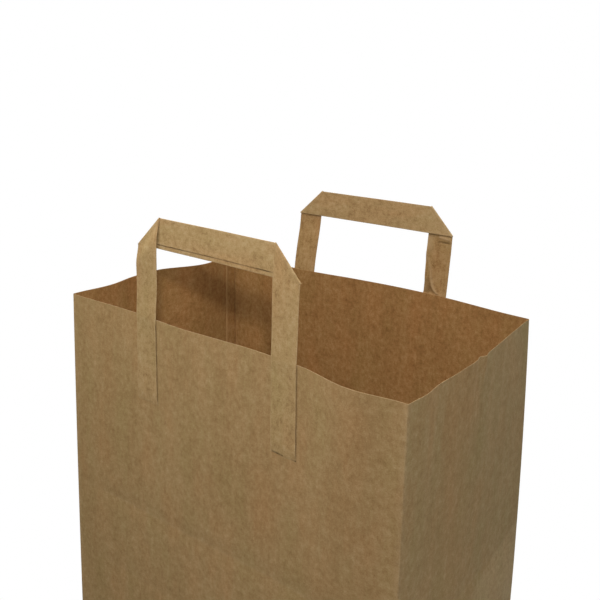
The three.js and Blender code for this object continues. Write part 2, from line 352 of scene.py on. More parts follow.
class PaperMesh:
    """Collects closed sheets and makes one mesh of them. The marks are shares from 0 to 1 at each point: cut
    edge (also painted highlights on a squeezed leg), worn fold (also a painted light patch on the gussets),
    inner side of the paper, and painted shadow line where lapped plies end, where edges and feet lift and in
    creases."""

    def __init__(self):
        self.points, self.faces, self.flat = [], [], []
        self.corner_uv, self.marks = [], {name: [] for name in MARKS}
        self.islands = []
        self.count = 0

    def add_points(self, points, cut=0.0, worn=0.0, inner=0.0, lap=0.0):
        """Adds points with their marks and returns the number of the first."""
        first = self.count
        flat = np.reshape(points, (-1, 3))
        self.points.append(flat)
        self.count += len(flat)
        for name, mark in zip(MARKS, (cut, worn, inner, lap)):
            self.marks[name].append(np.broadcast_to(np.asarray(mark, float), np.shape(points)[:-1]).ravel())
        return first

    def add_faces(self, faces, uv, flat=False):
        """Adds faces with the paper coordinates of their corners, as one island."""
        start = len(self.faces)
        self.faces.extend(faces)
        self.corner_uv.extend(uv)
        self.flat.extend([flat] * len(faces))
        self.islands.append((start, len(self.faces)))

    def add_grid(self, index, paper, turned=False, flat=False):
        """Quads over a grid of point numbers, with paper coordinates of the same shape."""
        faces, uv = [], []
        rows, columns = index.shape
        for j in range(rows - 1):
            for i in range(columns - 1):
                ring = [(j, i), (j, i + 1), (j + 1, i + 1), (j + 1, i)]
                if turned:
                    ring.reverse()
                faces.append([int(index[at]) for at in ring])
                uv.append([tuple(paper[at]) for at in ring])
        self.add_faces(faces, uv, flat)

    def build(self, name):
        mesh = bpy.data.meshes.new(name)
        mesh.from_pydata(np.concatenate(self.points).tolist(), [], self.faces)
        mesh.polygons.foreach_set("use_smooth", [not flat for flat in self.flat])
        for mark, values in self.marks.items():
            attribute = mesh.attributes.new(mark, "FLOAT", "POINT")
            attribute.data.foreach_set("value", np.concatenate(values).astype(np.float32))
        corners = np.array([pair for face in self.corner_uv for pair in face], np.float32)
        mesh.uv_layers.new(name="paper").data.foreach_set("uv", corners.ravel())
        mesh.uv_layers.new(name="OFBake").data.foreach_set("uv", self.packed(corners).ravel())
        mesh.validate()
        mesh.update()
        return mesh

    def packed(self, corners):
        """The paper coordinates with every island laid beside the others in the unit square."""
        margin = 4 * MM
        starts = np.cumsum([0] + [len(face) for face in self.faces])
        boxes = []
        for first, last in self.islands:
            part = corners[starts[first]:starts[last]]
            boxes.append((part.min(axis=0), part.max(axis=0), starts[first], starts[last]))
        boxes.sort(key=lambda box: -(box[1] - box[0])[1])
        sheet = max((high - low)[0] for low, high, _, _ in boxes) + 2 * margin
        moved = corners.copy()
        x, y, shelf = margin, margin, 0.0
        for low, high, first, last in boxes:
            width, height = high - low
            if x + width + margin > sheet:
                x, y, shelf = margin, y + shelf + margin, 0.0
            moved[first:last] = corners[first:last] - low + np.array([x, y])
            x += width + margin
            shelf = max(shelf, height)
        return moved / max(sheet, y + shelf + margin)


def running(steps):
    """Length so far at each point, from the steps between them."""
    return np.concatenate([[0], np.cumsum(steps)])


def on_sheet(across, up):
    """Paper coordinates of a grid with these columns and rows."""
    return np.stack(np.meshgrid(across, up), axis=-1)


def tube_numbers(first, rows, columns):
    """Point numbers of a grid whose columns run round and close."""
    return first + np.arange(rows)[:, None] * columns + np.append(np.arange(columns), 0)


def between(corners, columns, rows):
    """A grid of points between four corners, given against the clock."""
    a, b, c, d = (np.array(corner, float) for corner in corners)
    p = np.linspace(0, 1, columns)[None, :, None]
    q = np.linspace(0, 1, rows)[:, None, None]
    return (1 - q) * ((1 - p) * a + p * b) + q * ((1 - p) * d + p * c)


def grid_normals(points, closed):
    """Outward unit normals of a grid of points whose second axis runs round against the clock."""
    if closed:
        along = np.roll(points, -1, axis=1) - np.roll(points, 1, axis=1)
    else:
        along = np.gradient(points, axis=1)
    up = np.gradient(points, axis=0)
    normal = np.cross(along, up)
    return normal / np.linalg.norm(normal, axis=-1, keepdims=True)


def slab(paper_mesh, face, back, paper, cut, worn=0.0, inner=(0.0, 0.0)):
    """A closed thin sheet between two grids of points: face looks outward, back is behind it."""
    rows, columns = face.shape[:2]
    first = paper_mesh.add_points(face, cut, worn, inner[0])
    second = paper_mesh.add_points(back, cut, worn, inner[1])
    front = first + np.arange(rows * columns).reshape(rows, columns)
    rear = second + np.arange(rows * columns).reshape(rows, columns)
    paper_mesh.add_grid(front, paper)
    paper_mesh.add_grid(rear, paper, turned=True)
    border = [(0, i) for i in range(columns - 1)] + [(j, columns - 1) for j in range(rows - 1)]
    border += [(rows - 1, i) for i in range(columns - 1, 0, -1)] + [(j, 0) for j in range(rows - 1, 0, -1)]
    ring = border + border[:1]
    edge = np.array([[rear[at] for at in ring], [front[at] for at in ring]])
    along = running([np.linalg.norm(paper[a] - paper[b]) for a, b in zip(ring, ring[1:])])
    thickness = np.linalg.norm(face[0, 0] - back[0, 0])
    paper_mesh.add_grid(edge, on_sheet(along, [0.0, thickness]), flat=True)


# The folded bag

PANEL_STEP = 3.2 * MM
FOLD_STEPS = 5
BOTTOM_FOLD_STEPS = 4
BOTTOM_FOLD_INSET = 0.8
RIM_ROWS = (2.0 * MM, 1.0 * MM, 0.45 * MM, 0.2 * MM)
CREASE_ROWS = (-2.4 * MM, -1.2 * MM, -0.5 * MM, 0.0, 0.5 * MM, 1.2 * MM, 2.4 * MM)
CENTRE_COLUMNS = (1.4 * MM, 0.5 * MM)
CLEAR_OF_RIM = 2.5 * MM
CLEAR_OF_CREASE = 3.5 * MM
WORN_FOLD = 2.2 * MM
WORN_CENTRE = 0.8 * MM
CENTRE_WEAR = 0.45
PRESS_WEAR = 0.5
INNER_WEAR = 0.6
RIM_CUT = (0.35, 0.7)
SEAM_CUT = (0.2, 0.9, 1.0)
SEAM_GRID = (110, 10)
FLAP_GRID = (24, 10)
SEAM_FOOT, SEAM_TOP = 3 * MM, 0.1 * MM
SEAM_GLUE, SEAM_LIFT = 0.03 * MM, 0.25 * MM
SEAM_WANDER, SEAM_WAVE = 0.6, 40 * MM
SEAM_EDGE = (0.05, 4)
# Where the plies that lie on others are on the sheet, in metres up it, so that no grain is seen twice.
FLOOR_ROW, FLAP_ROW, SEAM_ROW = 1.0, 2.0, 4.0


def wall_shares(sizes, wall):
    """Shares along a wall where its columns stand, close together at a gusset's centre fold."""
    length = wall_length(sizes, wall)
    edge = sizes.fold_radius / length
    count = int(length / PANEL_STEP) // 2
    half = np.linspace(edge, 0.5, count + 1)
    near = 0.5 - np.array(CENTRE_COLUMNS) / length
    left = np.sort(np.concatenate([half[:-1], near]))
    return np.concatenate([left, [0.5], 1 - left[::-1]])


def wall_heights(sizes, underside):
    """Heights of the rows of a wall, close together at the pressed lines and the rim."""
    low = underside + sizes.fold_radius
    rows = list(np.linspace(low, sizes.height, int((sizes.height - low) / PANEL_STEP)))
    lines = [sizes.depth + offset for offset, _ in FRONT_PRESSES + GUSSET_PRESSES]
    below_rim = sizes.height - CLEAR_OF_RIM
    rows = [z for z in rows if z < below_rim and min(abs(z - line) for line in lines) > CLEAR_OF_CREASE]
    rows += [line + step for line in lines for step in CREASE_ROWS]
    rows += [sizes.height - step for step in RIM_ROWS] + [sizes.height]
    return np.array(sorted(rows))


class Section(NamedTuple):
    """The bag's outside as a grid of points, with how far round the paper each column is."""

    points: np.ndarray
    round: np.ndarray
    worn: np.ndarray
    side_steps: tuple


def rounded_fold(before, corner, after, t):
    """Columns that round off a corner fold between the last column of a wall and the first of the next."""
    before, corner, after = (points[:, None] for points in (before, corner, after))
    t = t[None, :, None]
    return (1 - t) ** 2 * before + 2 * t * (1 - t) * corner + t ** 2 * after


def bag_section(sizes, heights):
    """All walls and corner folds as columns, starting at the middle of the front left fold."""
    columns, rounds, worn = [], [], []
    travelled = 0.0
    radius = sizes.fold_radius
    for k, wall in enumerate(WALLS):
        length = wall_length(sizes, wall)
        shares = wall_shares(sizes, wall)
        following = WALLS[(k + 1) % len(WALLS)]
        grid = wall_point(sizes, wall, shares[None, :], heights[:, None])
        mark = pressed_lines(sizes, wall, shares[None, :], heights[:, None])[1]
        near_fold = hump(np.minimum(shares, 1 - shares) * length, WORN_FOLD)
        centre = wall.is_gusset * CENTRE_WEAR * hump((shares - 0.5) * length, WORN_CENTRE)
        columns.append(grid)
        rounds.append(travelled + shares * length)
        # The worn mark also carries the painted light patch on the gussets' rear halves.
        mark = np.maximum(PRESS_WEAR * mark, painted_light_patch(sizes, wall, shares[None, :], heights[:, None]))
        worn.append(np.maximum(np.maximum(near_fold, centre)[None, :], mark))
        corner = wall_point(sizes, wall, 1.0, heights)
        after = wall_point(sizes, following, radius / wall_length(sizes, following), heights)
        t = (np.arange(FOLD_STEPS) + 1) / (FOLD_STEPS + 1)
        columns.append(rounded_fold(grid[:, -1], corner, after, t))
        rounds.append(travelled + length + radius * (2 * t - 1))
        worn.append(np.ones((len(heights), FOLD_STEPS)))
        travelled += length
    shift = FOLD_STEPS // 2 + 1
    points = np.roll(np.concatenate(columns, axis=1), shift, axis=1)
    round_paper = np.concatenate(rounds)
    round_paper = np.concatenate([round_paper[-shift:] - travelled, round_paper[:-shift]])
    worn = np.roll(np.concatenate(worn, axis=1), shift, axis=1)
    steps = tuple(len(wall_shares(sizes, wall)) + FOLD_STEPS for wall in (FRONT, RIGHT_GUSSET))
    return Section(points, np.append(round_paper, round_paper[0] + travelled), worn, steps)


def bottom_fold(sizes, section, underside):
    """Rows that turn the walls round their bottom fold on to the underside."""
    ring = section.points[0]
    along = np.roll(ring, -1, axis=0) - np.roll(ring, 1, axis=0)
    outward = np.stack([along[:, 1], -along[:, 0], 0 * along[:, 0]], axis=-1)
    outward /= np.linalg.norm(outward, axis=-1, keepdims=True)
    inset = BOTTOM_FOLD_INSET * sizes.fold_radius
    rows = []
    for step in range(BOTTOM_FOLD_STEPS):
        turn = math.pi / 2 * step / BOTTOM_FOLD_STEPS
        row = ring - outward * inset * (1 - math.sin(turn))
        row[:, 2] = underside + sizes.fold_radius * (1 - math.cos(turn))
        rows.append(row)
    return np.stack(rows)


def ring_sides(ring, side_steps):
    """Front, right, rear and left of a ring, from left to right and from the front to the rear."""
    a, b = side_steps
    ring = np.concatenate([ring, ring[:1]])
    return ring[:a + 1], ring[a:a + b + 1], ring[a + b:2 * a + b + 1][::-1], ring[2 * a + b:][::-1]


def floor_grid(ring, side_steps):
    """Fills the ring of a wall's lowest row with a grid from the front to the rear."""
    front, right, rear, left = ring_sides(ring, side_steps)
    p = np.linspace(0, 1, len(front))[None, :, None]
    q = np.linspace(0, 1, len(right))[:, None, None]
    corners = between((front[0], front[-1], rear[-1], rear[0]), len(front), len(right))
    return (1 - q) * front[None] + q * rear[None] + (1 - p) * left[:, None] + p * right[:, None] - corners


def floor_numbers(ring, side_steps, inner_first):
    """Point numbers of a floor grid: its border is the ring, its inner points start at a number."""
    a, b = side_steps
    index = np.empty((b + 1, a + 1), int)
    index[1:-1, 1:-1] = inner_first + np.arange((b - 1) * (a - 1)).reshape(b - 1, a - 1)
    index[0], index[:, -1], index[-1], index[:, 0] = ring_sides(ring, side_steps)
    return index


def add_shell(paper_mesh, sizes, underside):
    """The closed sheet of walls and bottom: outside, inside and the cut rim between them."""
    heights = wall_heights(sizes, underside)
    section = bag_section(sizes, heights)
    fold = bottom_fold(sizes, section, underside)
    outside = np.concatenate([fold, section.points])
    normals = grid_normals(outside, closed=True)
    normals[0] = (0, 0, -1)
    inside = outside - sizes.paper * normals
    inside[-1, :, 2] = sizes.height
    rows, columns = outside.shape[:2]
    worn = np.concatenate([np.ones((len(fold), columns)), section.worn])
    cut = np.zeros((rows, columns))
    cut[-2:] = np.array(RIM_CUT)[:, None]
    first = paper_mesh.add_points(outside, cut, worn, 0.0)
    second = paper_mesh.add_points(inside, cut, INNER_WEAR * worn, 1.0)
    up = running(np.linalg.norm(np.diff(outside[:, 0], axis=0), axis=-1))
    paper = on_sheet(section.round, up)
    outer, inner = (tube_numbers(start, rows, columns) for start in (first, second))
    paper_mesh.add_grid(outer, paper)
    other_side = np.array([7 * SHEET_REPEAT, 0.0])
    paper_mesh.add_grid(inner, paper + other_side, turned=True)
    rim = np.stack([outer[-1], inner[-1]])
    rim_paper = np.stack([paper[-1], paper[-1] + np.array([0.0, sizes.paper])])
    paper_mesh.add_grid(rim, rim_paper)
    for ring, numbers, side, turned in ((outside[0], outer[0], 0.0, True), (inside[0], inner[0], 1.0, False)):
        grid = floor_grid(ring, section.side_steps)
        inner_first = paper_mesh.add_points(grid[1:-1, 1:-1], inner=side)
        index = floor_numbers(numbers[:-1], section.side_steps, inner_first)
        floor_paper = grid[..., :2] + side * other_side + np.array([sizes.width / 2, FLOOR_ROW])
        paper_mesh.add_grid(index, floor_paper, turned=turned)


def add_flap(paper_mesh, sizes, outline, low, inner):
    """A flat ply that lies on or under the bottom, with its cut border marked."""
    grid = between(outline, *FLAP_GRID)
    lower = np.concatenate([grid, np.full(grid.shape[:2] + (1,), low)], axis=-1)
    upper = lower + np.array([0, 0, sizes.paper])
    cut = np.zeros(grid.shape[:2])
    cut[-1] = 1.0
    slab(paper_mesh, upper, lower, grid + np.array([sizes.width / 2, FLAP_ROW]), cut, 0.0, (inner, inner))


def add_bottom(paper_mesh, sizes):
    """Front and rear flaps under the bottom, and the gusset triangles that show inside."""
    half_width, half = sizes.width / 2 - sizes.fold_radius, sizes.depth / 2 - sizes.fold_radius
    lap = sizes.bottom_lap / 2
    blunt = 0.5 * MM
    air = 0.01 * MM
    for side, low in ((1, sizes.paper), (-1, 0.0)):
        reach = half + lap
        narrow = half_width - reach
        outline = [(-half_width, side * half), (half_width, side * half),
                   (narrow, -side * lap), (-narrow, -side * lap)]
        outline = outline if side < 0 else [(-x, y) for x, y in outline]
        add_flap(paper_mesh, sizes, outline, low - air, 0.0)
    for side in (-1, 1):
        edge = side * (half_width - blunt)
        tip = side * (half_width - half)
        outline = [(edge, -side * half), (edge, side * half), (tip, side * blunt), (tip, -side * blunt)]
        add_flap(paper_mesh, sizes, outline, 3 * sizes.paper + air, 1.0)


def add_seam(paper_mesh, sizes):
    """The lapped ply inside the left gusset, whose free edge stands off a little."""
    rows, columns = SEAM_GRID
    shares = np.linspace(sizes.fold_radius, sizes.seam_lap, columns) / sizes.depth
    heights = np.linspace(SEAM_FOOT, sizes.height - SEAM_TOP, rows)
    wall = wall_point(sizes, LEFT_GUSSET, shares[None, :], heights[:, None])
    inward = -grid_normals(wall, closed=False)
    lift = SEAM_GLUE + SEAM_LIFT * np.linspace(0, 1, columns) ** 4
    wander = 1 + SEAM_WANDER * uneven(heights / SEAM_WAVE, 0 * heights, 5.0)
    lift = lift[None, :] * wander[:, None]
    ply = sizes.paper * np.clip(np.linspace(*SEAM_EDGE, columns), 0, 1)
    back = wall + inward * (sizes.paper + lift)[..., None]
    face = back + inward * ply[None, :, None]
    paper = on_sheet(shares * sizes.depth, heights) + np.array([2 * sizes.width + sizes.depth, SEAM_ROW])
    cut = np.zeros(wall.shape[:2])
    cut[:, -len(SEAM_CUT):] = SEAM_CUT
    slab(paper_mesh, face[:, ::-1], back[:, ::-1], paper[:, ::-1], cut[:, ::-1], 0.0, (1.0, 1.0))


def fold_bag(sizes):
    """The bag as one object: shell, bottom plies and the inside seam."""
    paper_mesh = PaperMesh()
    add_shell(paper_mesh, sizes, underside=2 * sizes.paper)
    add_bottom(paper_mesh, sizes)
    add_seam(paper_mesh, sizes)
    return paper_mesh.build("folded_bag")


# The tape handles

class Stance(NamedTuple):
    """How a handle stands on its panel: offset in metres, angles in degrees, and how far its corner
    folds have sprung open on the left and right."""

    offset: float
    turn: float
    lean: float
    drift: float
    sprung: tuple
    bow: float
    seed: float


FRONT_STANCE = Stance(-2.9 * MM, -2.1, 3.4, -1.4, (2.0 * MM, 0.35 * MM), -0.6 * MM, 2.0)
REAR_STANCE = Stance(2.0 * MM, 1.4, 3.8, 0.9, (0.5 * MM, 0.7 * MM), 0.5 * MM, 9.0)
ROW_STEP = 1.4 * MM
FREE_LEG_STEP = 0.6 * MM
FOOT_ROW = 0.12 * MM
CORNER_ROWS = 8
TURN_STEPS = 10
FACE_POINTS = 44
NARROW_POINTS = 5
EDGE_POINTS = 4
PLY_STEP = 0.1 * MM
WORN_TAPE_EDGE = 0.7 * MM
WORN_CORNER = 2 * MM
# LAP_SHADOW_LINE is the width of the painted shadow line along the lap's step.
LAP_SHADOW_LINE = 0.2 * MM
# A sprung corner fold opens over this distance from the fold, and down to this far under the crosspiece.
SPRING_REACH, SPRING_DROP = 9 * MM, 30 * MM
RIPPLE, RIPPLE_ALONG, RIPPLE_ACROSS = 0.3 * MM, 22 * MM, 60 * MM
# How much flatter the glued legs and their feet are than the free tape, and how soon they get so.
LEG_PRESSED, LEG_EASE = 0.42, 8 * MM
FOOT_PRESSED, FOOT_EASE = 0.52, 6 * MM
# The right edge of a glued leg stands off its panel, with a painted shadow line along it.
EDGE_LIFT = 0.4 * MM
EDGE_REACH = 1.2 * MM
EDGE_EASE = 4 * MM
EDGE_SHADOW_LINE = 1.7
# Marks of the legs: warmer lapped side, faint painted shadow of the lap's step, cut feet, and painted shadow
# lines at both ends of the rows, darker where the right foot has come away a little.
LEG_WARMTH = 0.5
LEG_LAP_SHADOW = 0.2
FOOT_CUT = 0.2
FOOT_SHADOW_LINES = (0.2, 0.2, 2.2, 2.2)


class TapeLoop(NamedTuple):
    """Section of the tape as across and depth of each point, with its worn mark and the painted shadow line
    of its lap.
    """

    across: np.ndarray
    depth: np.ndarray
    worn: np.ndarray
    lap: np.ndarray


def tape_loop(sizes, paper):
    """Round-edged section of the folded tape. Depth 0 is the face with the lapped ply."""
    width, thick, setback = sizes.tape_width, sizes.tape_thickness, sizes.lap_setback
    lapped, single = thick / 2, (thick - paper) / 2
    bend = np.linspace(0, math.pi, EDGE_POINTS + 2)[1:-1]
    face = np.append(np.linspace(width - lapped, setback + 3 * PLY_STEP, FACE_POINTS), setback)
    narrow = np.linspace(setback - PLY_STEP, single, NARROW_POINTS)
    back = np.linspace(single, width - lapped, len(face) + len(narrow))
    across = [face, narrow, single - single * np.sin(bend), back, width - lapped + lapped * np.sin(bend)]
    depth = [0 * face, 0 * narrow + paper, paper + single * (1 - np.cos(bend)), 0 * back + thick,
             lapped * (1 + np.cos(bend))]
    across, depth = np.concatenate(across), np.concatenate(depth)
    from_edge = np.minimum(across, width - across)
    worn = hump(from_edge, WORN_TAPE_EDGE)
    # The lap mark is a painted shadow line along the step where the lapped ply ends.
    lap = hump(across - setback, LAP_SHADOW_LINE) * (depth < thick / 2)
    return TapeLoop(across, depth, worn, lap)


class TapeRow(NamedTuple):
    """One section of the folded tape: its points' place across, up from the rim and out from the panel."""

    x: np.ndarray
    up: np.ndarray
    out: np.ndarray
    along: float
    fold: float


def half_rows(sizes, loop):
    """Sections from the left foot up the leg, over the 45-degree fold and on to the crosspiece."""
    across, width = loop.across, sizes.tape_width
    side, shoulder = -sizes.span / 2, sizes.rise - width
    leg_out = sizes.fold_gap + loop.depth
    length = sizes.glued + shoulder
    glued = np.linspace(-sizes.glued, 0, int(sizes.glued / ROW_STEP))[:-1]
    glued = np.insert(glued, 1, FOOT_ROW - sizes.glued)
    free = np.linspace(0, shoulder, int(shoulder / FREE_LEG_STEP))[:-1]
    rows = [TapeRow(side + across, up + 0 * across, leg_out, up + sizes.glued, 0.0)
            for up in np.concatenate([glued, free])]
    for t in np.arange(CORNER_ROWS) / CORNER_ROWS:
        near = hump((1 - t) * width, WORN_CORNER)
        rows.append(TapeRow(side + across, shoulder + across * t, leg_out, length + width / 2 * t, near))
    for turn in np.linspace(0, math.pi, TURN_STEPS + 1):
        bulge = leg_out * math.sin(turn) * math.sqrt(0.5)
        out = leg_out * math.cos(turn)
        rows.append(TapeRow(side + across - bulge, shoulder + across + bulge, out, length + width / 2, 1.0))
    for t in np.arange(1, CORNER_ROWS + 1) / CORNER_ROWS:
        near = hump(t * width, WORN_CORNER)
        x = side + across + (width - across) * t
        rows.append(TapeRow(x, shoulder + across, -leg_out, length + width / 2 * (1 + t), near))
    start = side + width
    for t in np.linspace(0, 1, int(-start / ROW_STEP) + 1)[1:-1]:
        x = start * (1 - t) + 0 * across
        rows.append(TapeRow(x, shoulder + across, -leg_out, length + width - start * t, 0.0))
    return rows


def handle_rows(sizes, loop):
    """All sections of a handle: the left half, the middle and the mirrored right half."""
    left = half_rows(sizes, loop)
    end = left[-1].along + ROW_STEP
    middle = TapeRow(0 * loop.across, sizes.rise - sizes.tape_width + loop.across,
                     -sizes.fold_gap - loop.depth, end, 0.0)
    right = [TapeRow(-row.x, row.up, row.out, 2 * end - row.along, row.fold) for row in reversed(left)]
    return left + [middle] + right


def stacked(rows):
    """Places of all the points of a handle's sections across, up and out, as three arrays."""
    return (np.stack([getattr(row, part) for row in rows]) for part in ("x", "up", "out"))


def rim_ends(bag, wall):
    return [corner_at(bag, name, bag.height)[0] for name in (wall.start, wall.end)]


def share_at_rim(bag, wall, x):
    start, end = rim_ends(bag, wall)
    return (x - start) / (end - start)


def sprung_corners(sizes, stance, x, up, out):
    """How far the legs stand off the crosspiece where the corner folds have sprung open."""
    shoulder = sizes.rise - sizes.tape_width
    lift = np.zeros_like(x)
    for side, opening in zip((-1, 1), stance.sprung):
        across = sizes.span / 2 - side * x
        from_fold = np.clip(across - (up - shoulder), 0, None) / math.sqrt(2)
        low = smooth_step((up - shoulder + SPRING_DROP) / SPRING_DROP)
        on_leg = (out > 0) & (across < 1.2 * sizes.tape_width)
        lift += np.where(on_leg, opening * smooth_step(from_fold / SPRING_REACH) * low, 0)
    return lift


def tape_unevenness(sizes, stance, x, up, along):
    """Small bends of the free loop, in metres outward."""
    shoulder = sizes.rise - sizes.tape_width
    free = smooth_step(up / shoulder)
    bow = stance.bow * np.cos(np.clip(2 * x / sizes.span, -1, 1) * math.pi / 2) * free
    ripple = RIPPLE * uneven(along / RIPPLE_ALONG, (up + x) / RIPPLE_ACROSS, stance.seed)
    return bow + ripple * free


class Crumple(NamedTuple):
    """How far each point moves out, its paleness (the ridge's pale ply edge and painted highlights) and its
    painted shade.
    """

    out: np.ndarray
    pale: np.ndarray
    dark: np.ndarray


# The ridge of the squeezed leg: height above the rim and distance from the leg's inner edge, in millimetres.
RIDGE_UP = (0.0, 0.6, 1.1, 2.6, 4.0, 5.5, 8.6, 11.5, 17.6, 22.0, 26.0, 43.0)
RIDGE_ACROSS = (15.0, 13.6, 11.4, 9.4, 8.3, 7.2, 6.2, 5.4, 4.3, 3.0, 1.0, -6.0)


def crumple(sizes, stance, x, up, out):
    """Where the rear handle's right leg was squeezed: a strip along its inner edge is bent back behind a
    ridge that turns outward at the rim, and a short crease crosses the leg under the crosspiece. Pale is
    partly the ridge's ply edge and partly painted highlight on the ridge, the lip under the crosspiece and
    the top of the inner strip; dark is painted shade on the bent-back strip, in the crease and under the
    corner fold."""
    from_inner = x - sizes.span / 2 + sizes.tape_width
    shoulder = sizes.rise - sizes.tape_width
    leg = (out > 0) & (from_inner > -1 * MM) & (up > 0) & (up < shoulder) & (stance is REAR_STANCE)
    fade = smooth_step(up / (1.0 * MM))
    past = np.interp(up, np.array(RIDGE_UP) * MM, np.array(RIDGE_ACROSS) * MM) - from_inner
    low = smooth_step((13 * MM - up) / (6 * MM))
    behind = smooth_step((past - 0.8 * MM) / (1.6 * MM))
    outer_half = smooth_step((from_inner - 7.5 * MM) / (2 * MM))
    outer_half = outer_half * smooth_step((18 * MM - from_inner) / (2 * MM))
    lip = outer_half * hump(shoulder - 0.6 * MM - 0.12 * from_inner - up, 1.0 * MM)
    crease = outer_half * hump(shoulder - 5.4 * MM - up, 0.7 * MM)
    painted_top_light = smooth_step((7 * MM - from_inner) / (5 * MM)) * smooth_step((up - 27 * MM) / (7 * MM))
    painted_fold_shadow = smooth_step((5 * MM - from_inner) / (3 * MM)) * hump(shoulder - 0.4 * MM - up, 0.7 * MM)
    ridge = hump(past, 1.2 * MM) * fade * (0.7 + 0.6 * low)
    moved = fade * (0.15 * np.clip(past, 0, 4 * MM) * low - 0.6 * MM * hump(past, 1.5 * MM))
    moved = moved - 0.6 * MM * lip + 0.6 * MM * crease
    # Painted highlights on the ridge, the lip and the top of the inner strip, and painted shade on the
    # bent-back strip, in the crease and under the corner fold.
    pale = np.maximum(np.maximum(ridge, 1.5 * lip), 0.9 * painted_top_light * (1 - painted_fold_shadow))
    dark = np.maximum(np.maximum(0.55 * behind * low * fade, crease), 0.7 * painted_fold_shadow)
    return Crumple(*(np.where(leg, part, 0) for part in (moved, pale, dark)))


def right_edge(x, up):
    """Share from 0 to 1 of the glued right edge of each leg, which stands off its panel a little."""
    from_edge = x.max(axis=1, keepdims=True) - x
    return hump(from_edge, EDGE_REACH) * smooth_step(-up / EDGE_EASE)


def stand_handle(bag, sizes, wall, stance, rows):
    """Bends the flat handle on to its panel, as points of the same shape as the rows."""
    x, up, out = stacked(rows)
    along = np.array([row.along for row in rows])[:, None] + 0 * x
    out = out + sprung_corners(sizes, stance, x, up, out) + tape_unevenness(sizes, stance, x, up, along)
    out = out + crumple(sizes, stance, x, up, out).out
    glued_down = smooth_step(-up / LEG_EASE)
    foot = smooth_step(1 - (up + sizes.glued) / FOOT_EASE)
    out = (sizes.glue_gap + out) * (1 - LEG_PRESSED * glued_down - FOOT_PRESSED * foot)
    out = out + EDGE_LIFT * right_edge(x, up) * (1 - foot)
    drift, turn, lean = (math.tan(math.radians(angle)) for angle in (stance.drift, stance.turn, stance.lean))
    centre = sum(rim_ends(bag, wall)) / 2 + stance.offset
    reach = (sizes.span - sizes.tape_width) / 2
    legs = share_at_rim(bag, wall, centre + np.array([-reach, reach]))
    loop_y = wall_point(bag, wall, legs, bag.height)[:, 1].mean()
    glued, free = np.minimum(up, 0), np.maximum(up, 0)
    on_paper = wall_point(bag, wall, share_at_rim(bag, wall, centre + x + drift * glued), bag.height + glued)
    straight = smooth_step(free / (sizes.rise - sizes.tape_width))
    y = on_paper[..., 1] + (loop_y + turn * x - on_paper[..., 1]) * straight
    y = y + lean * free + wall.outward[1] * out
    return np.stack([on_paper[..., 0] + drift * free, y, bag.height + up], axis=-1)


def add_cut_end(paper_mesh, numbers, loop, flip):
    """Closes a cut end of the tape: quads between its two faces and one face in each rounded edge."""
    side = FACE_POINTS + 1 + NARROW_POINTS
    last = 2 * side + EDGE_POINTS - 1
    rings = [[i, i + 1, last - i - 1, last - i] for i in range(side - 1)]
    rings.append(list(range(side - 1, side + EDGE_POINTS + 1)))
    rings.append([*range(last, len(numbers)), 0])
    if flip:
        rings = [ring[::-1] for ring in rings]
    uv = [[(float(loop.across[i]), float(loop.depth[i])) for i in ring] for ring in rings]
    paper_mesh.add_faces([[int(numbers[i]) for i in ring] for ring in rings], uv, flat=True)


def handle_marks(sizes, stance, loop, rows):
    """Cut, worn, inner and lap marks of all the points of a handle. The lap mark holds painted shadow lines,
    and the cut mark also holds the squeezed leg's painted highlights.
    """
    x, up, out = stacked(rows)
    squeezed = crumple(sizes, stance, x, up, out)
    cut, foot_shadow_line = np.zeros((2, len(rows), 1))
    cut[[0, -1]] = FOOT_CUT
    foot_shadow_line[[0, 1, -2, -1], 0] = FOOT_SHADOW_LINES
    fold = np.array([row.fold for row in rows])[:, None]
    on_leg = out.min(axis=1, keepdims=True) > 0
    on_crosspiece = out.max(axis=1, keepdims=True) < 0
    lap = loop.lap * np.where(on_crosspiece, 1.0, LEG_LAP_SHADOW)
    at_edge = on_leg & (loop.depth < 0.8 * sizes.tape_thickness)
    # Painted shadow lines along the lap's step, at the feet and beside the lifted right edges of the legs.
    dark = np.maximum(np.maximum(lap, foot_shadow_line), EDGE_SHADOW_LINE * right_edge(x, up) ** 2 * at_edge)
    lapped_side = loop.depth < sizes.tape_thickness / 2
    return {"cut": np.maximum(cut, squeezed.pale), "worn": np.maximum(loop.worn, fold),
            "inner": LEG_WARMTH * (on_leg & lapped_side), "lap": np.maximum(dark, squeezed.dark)}


def fold_handle(name, bag, sizes, wall, stance):
    """One handle as a closed swept tape with its cut feet."""
    loop = tape_loop(sizes, bag.paper)
    rows = handle_rows(sizes, loop)
    paper_mesh = PaperMesh()
    points = stand_handle(bag, sizes, wall, stance, rows)
    first = paper_mesh.add_points(points, **handle_marks(sizes, stance, loop, rows))
    index = tube_numbers(first, len(rows), len(loop.across))
    across, depth = (np.append(part, part[0]) for part in (loop.across, loop.depth))
    girth = running(np.hypot(np.diff(across), np.diff(depth)))
    along = stance.seed + np.array([row.along for row in rows])
    rearward = wall.outward[1] > 0
    paper_mesh.add_grid(index, on_sheet(girth, along), turned=rearward)
    for row, flip in ((0, not rearward), (len(rows) - 1, rearward)):
        add_cut_end(paper_mesh, index[row, :-1], loop, flip)
    return paper_mesh.build(name)


# Materials

